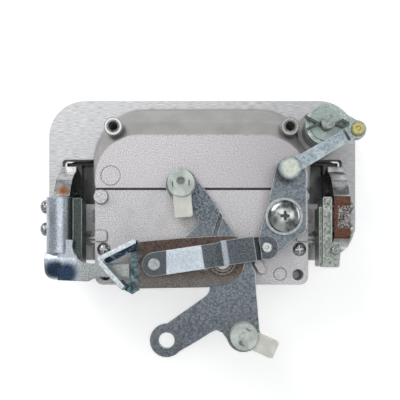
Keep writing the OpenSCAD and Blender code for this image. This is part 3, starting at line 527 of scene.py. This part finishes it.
def chrome():
    """Polished screw head with painted highlight fans, and painted shade at its rim and in its cross
    recess.
    """
    f = Finish("chrome", 1.0, 0.24)
    f.shader.inputs["Anisotropic"].default_value = 0.75
    around = f.node("ShaderNodeTangent", direction_type="RADIAL", axis="Y")
    f.link(around.outputs["Tangent"], f.shader.inputs["Tangent"])
    mottle = f.noise(2.5, 4.0, rough=0.65)
    skin = f.two_tone(mottle, GENTLE, tone(92, 96, 96), tone(150, 154, 152))
    # Painted highlight: light fans about the screw's axis.
    skin = f.stain(skin, f.highlight_fans(CROSS_FLOOR, 3, 1.2), 0.7, tone(204, 208, 206))
    # Painted shade: the low rim of the head, just above its seat, darkened.
    rim = f.math("SUBTRACT", 1.0, f.along(OUTWARD, SCREW_SEAT + 0.5, SCREW_SEAT + 1.7))
    skin = f.stain(skin, rim, 0.8, tone(70, 74, 76))
    # Painted shade: the cross recess darkened.
    deep = f.along(INWARD, 0.8 - SCREW_TOP, 1.6 - SCREW_TOP)
    f.colour(f.mix(f.times(f.near(CROSS_FLOOR, 4.6, 5.2), deep), skin, tone(66, 70, 70)))
    f.rough(mottle, 0.16, 0.3)
    f.relief(mottle, 0.02, 0.25)
    return f.material


def nylon():
    """Milky nylon: greener over the clips' heads, warmer along their tails, with painted shade for the
    dimples on their heads.
    """
    f = Finish("nylon", 0.0, 0.36)
    cloud = f.noise(5.0)
    haze = f.noise(0.5)
    cold = f.two_tone(cloud, (0.35, 0.7), tone(174, 184, 178), tone(208, 215, 210))
    warm = f.two_tone(cloud, (0.35, 0.7), tone(206, 206, 196), tone(223, 223, 215))
    head = f.either(f.near(UPPER_HEAD, 8.0, 9.6), f.near(LOWER_HEAD, 8.0, 9.6))
    # Painted shade: dark spots where the heads have dimples, which their shape lacks.
    dimple_shade = f.either(f.near(UPPER_DIMPLE, 1.8, 3.2), f.near(LOWER_DIMPLE, 0.8, 1.8))
    f.colour(f.stain(f.mix(head, warm, cold), dimple_shade, 0.85, tone(104, 110, 106)))
    f.shader.inputs["Subsurface Weight"].default_value = 0.35
    f.shader.inputs["Subsurface Radius"].default_value = (0.004, 0.004, 0.003)
    f.shader.inputs["Subsurface Scale"].default_value = 1.0
    f.rough(haze, 0.3, 0.42)
    f.relief(haze, 0.02, 0.6)
    return f.material


# Finishes by CAD node or, where a node has none of its own, by material slot
FINISHES = {
    "cast_housing": cast_housing,
    "cast_plate": cast_plate,
    "plated_handle": plated_handle,
    "bright_zinc": bright_zinc,
    "spangled_zinc": spangled_zinc,
    "lever_zinc": lever_zinc,
    "left_bracket": bracket_zinc,
    "nylon": nylon,
    "upper_strap": lambda: zinc(
        "strap_zinc", tone(96, 106, 112), tone(172, 184, 190), tone(196, 206, 210), 9.0).material,
    "cam_plate": lambda: zinc(
        "cam_zinc", tone(116, 130, 127), tone(192, 205, 200), tone(92, 106, 104), 6.0).material,
    "dark_zinc": lambda: zinc(
        "dark_zinc", tone(30, 37, 33), tone(190, 196, 187), tone(84, 92, 86), size_mm=0.5).material,
    "strap_rivet": lambda: rivet_disc(
        "strap_rivet_disc", STRAP_RIVET, 4.6, tone(166, 170, 160), tone(204, 206, 196)),
    "link_rivet_left": lambda: rivet_disc(
        "link_rivet_disc", LINK_RIVET, 3.0, tone(132, 138, 140), tone(186, 190, 190)),
    "pin_steel": lambda: steel("pin_steel", tone(138, 144, 142), tone(198, 204, 200), 2.4),
    "spring_steel": lambda: steel("spring_steel", tone(60, 62, 64), tone(132, 134, 136)),
    "screw_zinc": lambda: steel(
        "screw_zinc", tone(104, 106, 108), tone(196, 198, 198), 2.0, (0.16, 0.32)),
    "bracket_rivet": lambda: steel("rivet_grey", tone(66, 72, 68), tone(170, 177, 171), 0.8),
    "lock_plug": lambda: steel("tail_steel", tone(74, 80, 78), tone(168, 174, 172), 1.4),
    "crank_washer": lambda: steel("washer_steel", tone(112, 118, 118), tone(176, 182, 180), 1.5),
    "cotter_pin": lambda: steel("pin_wire", tone(40, 44, 43), tone(100, 106, 103), 1.0),
    "dark_washer": lambda: steel("dark_washer", tone(58, 54, 50), tone(132, 126, 118)),
    "green_washer": lambda: steel(
        "green_washer", tone(140, 158, 152), tone(186, 200, 194), 1.5, (0.4, 0.6), 0.3),
    "yellow_rivet": lambda: steel(
        "yellow_rivet", tone(140, 134, 70), tone(206, 200, 140), 1.6, (0.25, 0.45), 0.6),
    "lock_casting": lambda: steel(
        "lock_casting", tone(120, 124, 126), tone(186, 190, 190), 1.0, (0.35, 0.55), 0.7),
}


def dress_nodes():
    """Gives each CAD node a finish of its own, or that of its material slot."""
    slots = {part["node"]: part["material_slot"] for part in frame["record"]["subparts"]}
    made = {}
    for name, node in frame["nodes"].items():
        key = name if name in FINISHES else slots[name]
        if key not in made:
            made[key] = FINISHES[key]()
        if not node.material_slots:
            node.data.materials.append(None)
        for place in node.material_slots:
            place.material = made[key]


def piece(name, mesh, body, finish, bevel_mm=0.0):
    """An object of its own made from a bmesh, riding on a body."""
    data = bpy.data.meshes.new(name)
    bmesh.ops.recalc_face_normals(mesh, faces=mesh.faces)
    mesh.to_mesh(data)
    mesh.free()
    made = bpy.data.objects.new(name, data)
    bpy.context.scene.collection.objects.link(made)
    if bevel_mm:
        soft = made.modifiers.new("soft_edges", "BEVEL")
        soft.width = bevel_mm * MM
        soft.segments = 3
        soft.angle_limit = math.radians(30)
    for face in data.polygons:
        face.use_smooth = True
    data.materials.append(finish)
    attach(made, body)
    return made


def turned(profile, spot, steps=64):
    """A closed turned shape from (radius, height) points; spot places (across, up, height), in mm."""
    mesh = bmesh.new()
    rows = []
    for radius, height in profile:
        if radius == 0:
            rows.append([mesh.verts.new(spot(0, 0, height))])
            continue
        turns = [2 * math.pi * k / steps for k in range(steps)]
        circle = [(radius * math.cos(t), radius * math.sin(t)) for t in turns]
        rows.append([mesh.verts.new(spot(a, b, height)) for a, b in circle])
    for low, high in zip(rows, rows[1:]):
        for k in range(steps):
            j = k + 1
            ring = [low[k % len(low)], low[j % len(low)], high[j % len(high)], high[k % len(high)]]
            corners = list(dict.fromkeys(ring))
            if len(corners) > 2:
                mesh.faces.new(corners)
    return mesh


def block(half_a, half_b, low, high, spot):
    """A closed box about a screw's axis, for cutting a recess."""
    corners = [(-half_a, -half_b), (half_a, -half_b), (half_a, half_b), (-half_a, half_b)]
    mesh = bmesh.new()
    floor = [mesh.verts.new(spot(a, b, low)) for a, b in corners]
    roof = [mesh.verts.new(spot(a, b, high)) for a, b in corners]
    mesh.faces.new(floor)
    mesh.faces.new(roof)
    for k in range(4):
        j = (k + 1) % 4
        mesh.faces.new((floor[k], floor[j], roof[j], roof[k]))
    return mesh


def carve(made, cutter_mesh):
    """Cuts a closed mesh out of a piece and keeps the result."""
    data = bpy.data.meshes.new("cutter")
    bmesh.ops.recalc_face_normals(cutter_mesh, faces=cutter_mesh.faces)
    cutter_mesh.to_mesh(data)
    cutter_mesh.free()
    cutter = bpy.data.objects.new("cutter", data)
    bpy.context.scene.collection.objects.link(cutter)
    cut = made.modifiers.new("cut", "BOOLEAN")
    cut.operation = "DIFFERENCE"
    cut.solver = "EXACT"
    cut.object = cutter
    bpy.context.view_layer.update()
    shaped = bpy.data.meshes.new_from_object(made.evaluated_get(bpy.context.evaluated_depsgraph_get()))
    made.modifiers.remove(cut)
    made.data = shaped
    bpy.data.objects.remove(cutter)


def cut_cross(head, reach, half_width, low, high, spot):
    """Cuts a cross recess into a screw head, as two crossed slots."""
    for half_a, half_b in ((reach, half_width), (half_width, reach)):
        carve(head, block(half_a, half_b, low, high, spot))


def domed(radius, seat, rim, top):
    """The outline of a screw head from its undercut seat over its rim to the middle of its dome."""
    undercut = 0.3
    turns = [math.radians(90 - 6 * k) for k in range(15)]
    arc = [(radius * math.sin(t), rim + (top - rim) * math.cos(t)) for t in turns]
    return [(radius - undercut, seat)] + arc + [(0, top)]


def build_crank_screw():
    """The crank's big pan-head screw with its cross recess."""
    x, y = axis_mm("crank_turn")
    foot = 30.0
    shank_r = 4.0
    head_r = 9.5
    rim = SCREW_SEAT + 1.6
    cross_reach = 2.6
    cross_half_width = 0.7
    cross_floor = SCREW_TOP - CROSS_DEPTH
    clear = SCREW_TOP + 1

    def spot(a, b, height):
        return at(x + a, y + b, height)

    shank = [(0, foot), (shank_r, foot), (shank_r, SCREW_SEAT)]
    profile = shank + domed(head_r, SCREW_SEAT, rim, SCREW_TOP)
    head = piece("crank_screw_head", turned(profile, spot), "housing", chrome())
    cut_cross(head, cross_reach, cross_half_width, cross_floor, clear, spot)
    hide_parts("crank_screw")


def build_side_screw(name, y, finish):
    """A tall pan head on the left bracket's outer face, over the head of the CAD screw."""
    face_x = -93.4
    axis_height = 23
    head_r = 4.2
    rim = 3.0
    top = 5.8
    cross_reach = 2.2
    cross_half_width = 0.5
    cross_floor = top - 1.4
    clear = top + 1.2

    def spot(a, b, out):
        return at(face_x - out, y + a, axis_height + b)

    profile = [(0, 0)] + domed(head_r, 0, rim, top)
    head = piece(name, turned(profile, spot, 40), "handle", finish)
    cut_cross(head, cross_reach, cross_half_width, cross_floor, clear, spot)


def build_side_screws():
    """The two pan heads on the left bracket, which share one finish."""
    finish = FINISHES["screw_zinc"]()
    for name, y in (("side_head_upper", -19.3), ("side_head_lower", -33.0)):
        build_side_screw(name, y, finish)


def build_wing_lip():
    """The lip that opens the V lever's upper wing towards the viewer."""
    foot_end = Vector((-56.4, -51.9))
    far_end = Vector((-38.9, -43.2))
    wing_top = 47.6
    lip_foot = 43.8
    inset = 0.6
    flare = 3.0
    way = (far_end - foot_end).normalized()
    side = Vector((way.y, -way.x))
    mesh = bmesh.new()
    ends = []
    for end in (foot_end, far_end):
        wing_side = end - side * inset
        section = ((wing_side, wing_top), (wing_side, lip_foot), (end + side * flare, lip_foot))
        ends.append([mesh.verts.new(at(p.x, p.y, height)) for p, height in section])
    mesh.faces.new(ends[0])
    mesh.faces.new(ends[1])
    for k in range(3):
        j = (k + 1) % 3
        mesh.faces.new((ends[0][k], ends[0][j], ends[1][j], ends[1][k]))
    piece("v_wing_lip", mesh, "lost_motion_lever", wing_blue(), 0.4)


def plane(name, corners, material):
    """A flat face with a material."""
    mesh = bpy.data.meshes.new(name)
    mesh.from_pydata(corners, [], [range(len(corners))])
    mesh.materials.append(material)
    made = bpy.data.objects.new(name, mesh)
    bpy.context.scene.collection.objects.link(made)
    return made


def paper(name, grey, roughness, glow):
    """A matt paper that glows a little; its material and its shader."""
    made = bpy.data.materials.new(name)
    made.use_nodes = True
    shader = made.node_tree.nodes["Principled BSDF"]
    shader.inputs["Base Color"].default_value = (grey, grey, grey, 1)
    shader.inputs["Roughness"].default_value = roughness
    shader.inputs["Specular IOR Level"].default_value = 0.0
    shader.inputs["Emission Color"].default_value = (1, 1, 1, 1)
    shader.inputs["Emission Strength"].default_value = glow
    return made, shader


def build_floor():
    """A pale floor that glows only for the camera."""
    material, shader = paper("floor_paper", 0.7, 0.9, 0.0)
    tree = material.node_tree
    to_camera = tree.nodes.new("ShaderNodeLightPath").outputs["Is Camera Ray"]
    glow = math_node(tree, "MULTIPLY", to_camera, FLOOR_GLOW)
    tree.links.new(glow, shader.inputs["Emission Strength"])
    half = FLOOR_HALF
    corners = [(-half, -half), (half, -half), (half, half), (-half, half)]
    floor = plane("floor", [(x, y, FLOOR_Z) for x, y in corners], material)


def build_backdrop():
    """A paper behind the part that is seen from the front only."""
    material, shader = paper("backdrop_paper", 0.86, 1.0, BACKDROP_GLOW)
    tree = material.node_tree
    clear = tree.nodes.new("ShaderNodeBsdfTransparent")
    sides = tree.nodes.new("ShaderNodeMixShader")
    face = tree.nodes.new("ShaderNodeNewGeometry")
    tree.links.new(face.outputs["Backfacing"], sides.inputs["Fac"])
    tree.links.new(shader.outputs["BSDF"], sides.inputs[1])
    tree.links.new(clear.outputs["BSDF"], sides.inputs[2])
    tree.links.new(sides.outputs["Shader"], tree.nodes["Material Output"].inputs["Surface"])
    half = BACKDROP_HALF
    low = FLOOR_Z + FLOOR_GAP
    corners = [(-half, low), (half, low), (half, BACKDROP_TOP), (-half, BACKDROP_TOP)]
    sheet = plane("backdrop", [(x, BACKDROP_Y, z) for x, z in corners], material)


def build_world():
    """Soft grey surroundings, white where the camera or a reflection looks past the part."""
    world = bpy.data.worlds.new("studio")
    bpy.context.scene.world = world
    world.use_nodes = True
    tree = world.node_tree
    soft = tree.nodes["Background"]
    soft.inputs["Color"].default_value = SURROUNDINGS
    soft.inputs["Strength"].default_value = SURROUNDINGS_STRENGTH
    white = tree.nodes.new("ShaderNodeBackground")
    white.inputs["Color"].default_value = (PAPER, PAPER, PAPER, 1)

    way = tree.nodes.new("ShaderNodeSeparateXYZ")
    tree.links.new(tree.nodes.new("ShaderNodeTexCoord").outputs["Generated"], way.inputs["Vector"])
    behind = tree.nodes.new("ShaderNodeMapRange")
    behind.inputs["From Min"].default_value = -0.3
    behind.inputs["From Max"].default_value = 0.2
    tree.links.new(way.outputs["Y"], behind.inputs["Value"])

    rays = tree.nodes.new("ShaderNodeLightPath").outputs
    shiny = math_node(tree, "MAXIMUM", rays["Is Glossy Ray"], rays["Is Transmission Ray"])
    past = math_node(tree, "MULTIPLY", shiny, behind.outputs["Result"])
    seen = math_node(tree, "MAXIMUM", rays["Is Camera Ray"], past)
    mix = tree.nodes.new("ShaderNodeMixShader")
    tree.links.new(seen, mix.inputs["Fac"])
    tree.links.new(soft.outputs["Background"], mix.inputs[1])
    tree.links.new(white.outputs["Background"], mix.inputs[2])
    tree.links.new(mix.outputs["Shader"], tree.nodes["World Output"].inputs["Surface"])


def add_light(name, place, size, power):
    """A soft rectangular light that points at the middle of the part."""
    target = Vector((0, -0.02, -0.03))
    light = bpy.data.lights.new(name, "AREA")
    light.shape = "RECTANGLE"
    light.size, light.size_y = size
    light.energy = power
    made = bpy.data.objects.new(name, light)
    made.location = place
    made.rotation_euler = (target - Vector(place)).to_track_quat("-Z", "Y").to_euler()
    bpy.context.scene.collection.objects.link(made)


def build_lights():
    """A key from the upper left, fills from the front and the right, and one for the handle's side."""
    add_light("key", (-0.45, -0.65, 0.55), (0.5, 0.4), 3.4)
    add_light("front", (0.12, -0.95, 0.10), (0.9, 0.5), 2.2)
    add_light("right", (0.8, -0.3, 0.2), (0.3, 0.6), 1.0)
    add_light("handle_side", (0.3, 0.8, 0.5), (0.6, 0.5), 4.0)


def build_camera():
    """A level camera, with its lens shifted so that its axis meets the picture at CENTRE_PX."""
    camera = bpy.data.cameras.new("camera")
    camera.sensor_width = SENSOR_MM
    camera.lens = FOCAL_PX * SENSOR_MM / PICTURE_PX
    camera.shift_x = (PICTURE_PX / 2 - CENTRE_PX[0]) / PICTURE_PX
    camera.shift_y = (CENTRE_PX[1] - PICTURE_PX / 2) / PICTURE_PX
    made = bpy.data.objects.new("camera", camera)
    made.location = [v * MM for v in CAMERA_MM]
    made.rotation_euler = (math.radians(90), 0, 0)
    bpy.context.scene.collection.objects.link(made)
    bpy.context.scene.camera = made


dress_nodes()
build_crank_screw()
build_side_screws()
build_wing_lip()
build_floor()
build_backdrop()
build_world()
build_lights()
build_camera()
bpy.context.scene.view_settings.view_transform = "Standard"
